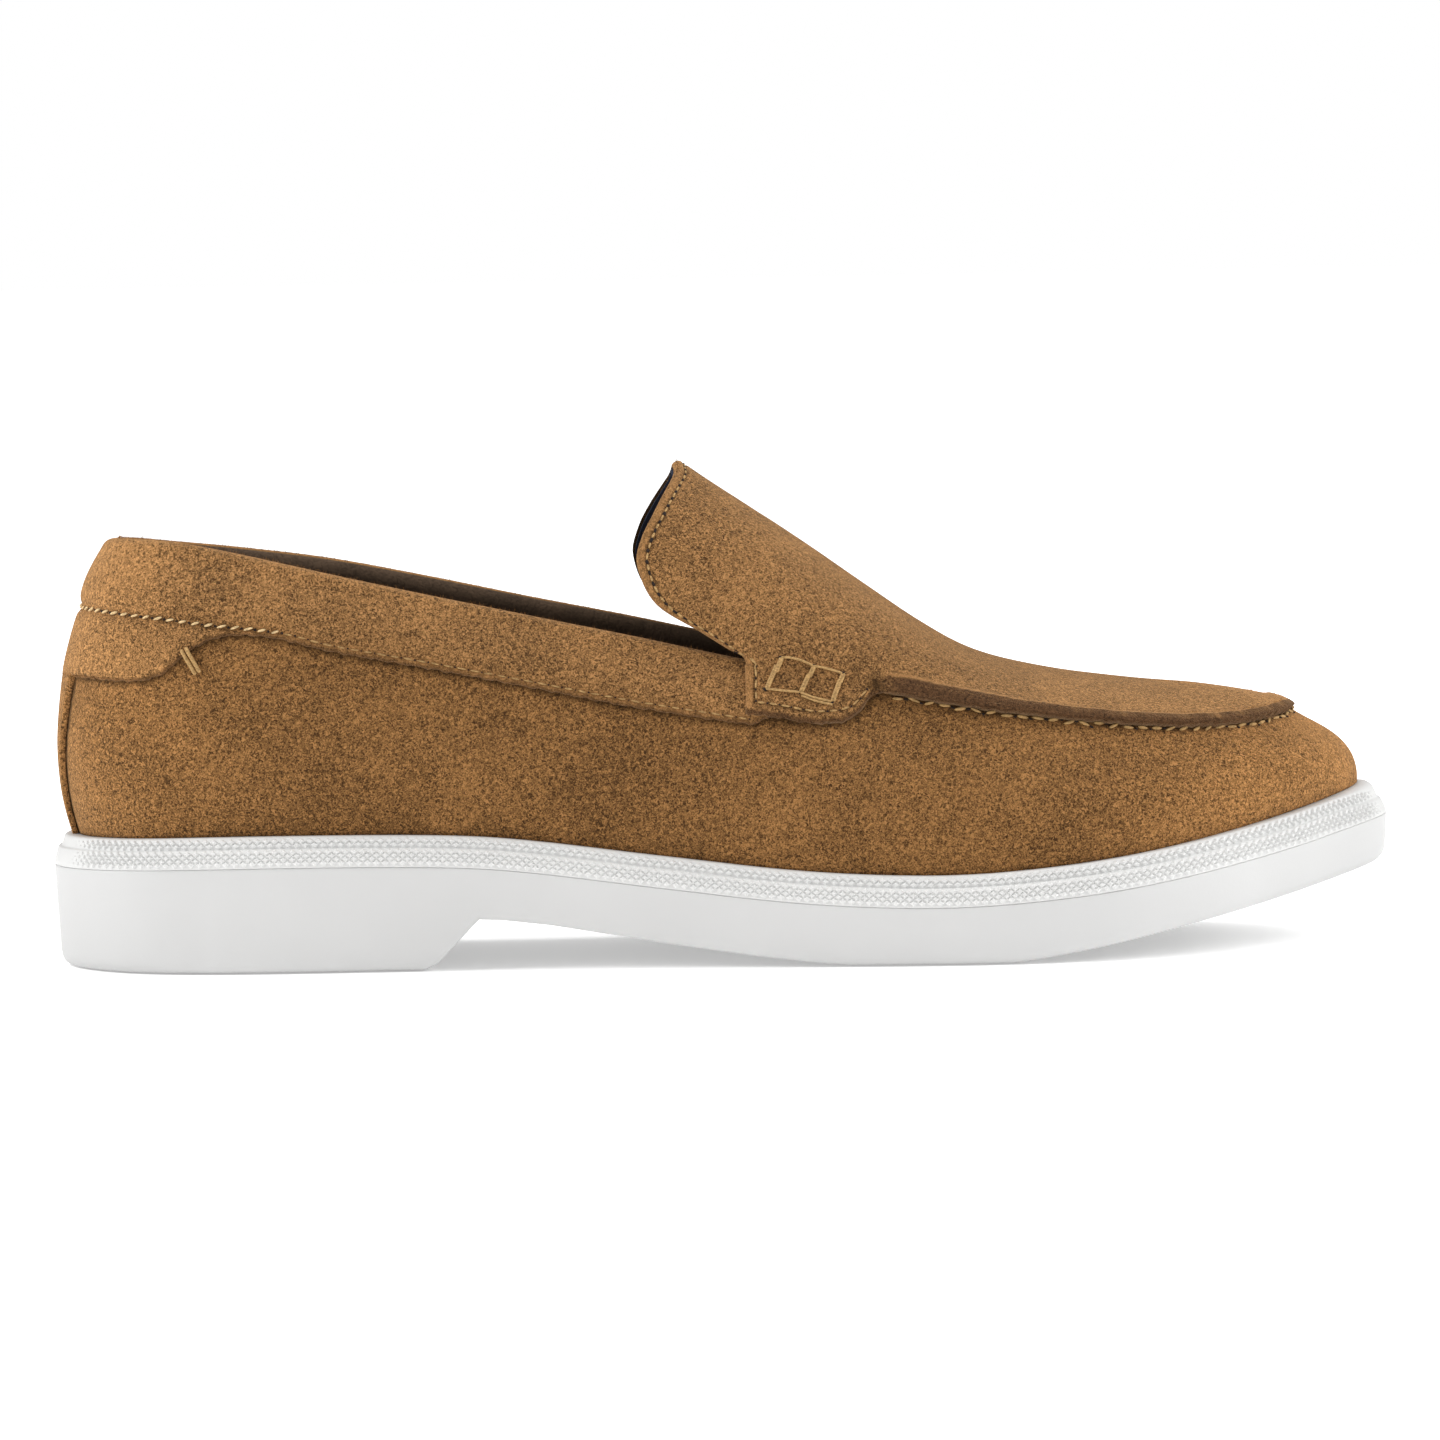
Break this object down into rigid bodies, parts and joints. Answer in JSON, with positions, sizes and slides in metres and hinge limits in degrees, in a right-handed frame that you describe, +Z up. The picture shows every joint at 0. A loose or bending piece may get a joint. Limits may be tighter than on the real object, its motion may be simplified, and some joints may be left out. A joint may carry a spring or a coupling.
{
  "type": "moccasin",
  "caption": "Right-foot suede slip-on moccasin with an apron toe, raised tongue, padded collar band and white moulded unit sole.",
  "frame": {"origin": "middle of the sole's outline, on the floor", "axes": "+X from heel to toe, +Y to the inner (medial) side of this right shoe, +Z up"},
  "size_m": [0.3, 0.103, 0.1099],
  "materials": {
    "suede": "tan brushed suede with a soft nap",
    "sole": "white moulded sole compound, smooth wall and knurled rim",
    "lining": "dark brown to black textile",
    "tongue_lining": "dark smooth lining leather",
    "foam": "dark soft foam, inside",
    "board": "fibre board, inside",
    "filler": "pressed filler sheet, inside",
    "shank": "spring steel strip, inside",
    "thread": "waxed sewing thread"
  },
  "bodies": {
    "root": {"sole_base": "sole", "welt_band": "sole", "shank": "shank", "bottom_filler": "filler", "insole_board": "board", "heel_pad": "foam", "footbed": "foam", "sock_lining": "lining", "side_wall": "suede", "heel_counter": "board", "toe_puff": "board", "quarter_lining": "lining", "vamp_lining": "lining", "tongue_lining": "tongue_lining", "apron": "suede", "collar_foam": "foam", "collar_band": "suede", "back_strip": "suede", "apron_seam_thread": "thread", "collar_stitch_thread": "thread", "tongue_edge_thread": "thread", "tab_stitch_lateral": "thread", "tab_stitch_medial": "thread", "bartack_lateral": "thread", "bartack_medial": "thread"}
  },
  "joints": []
}
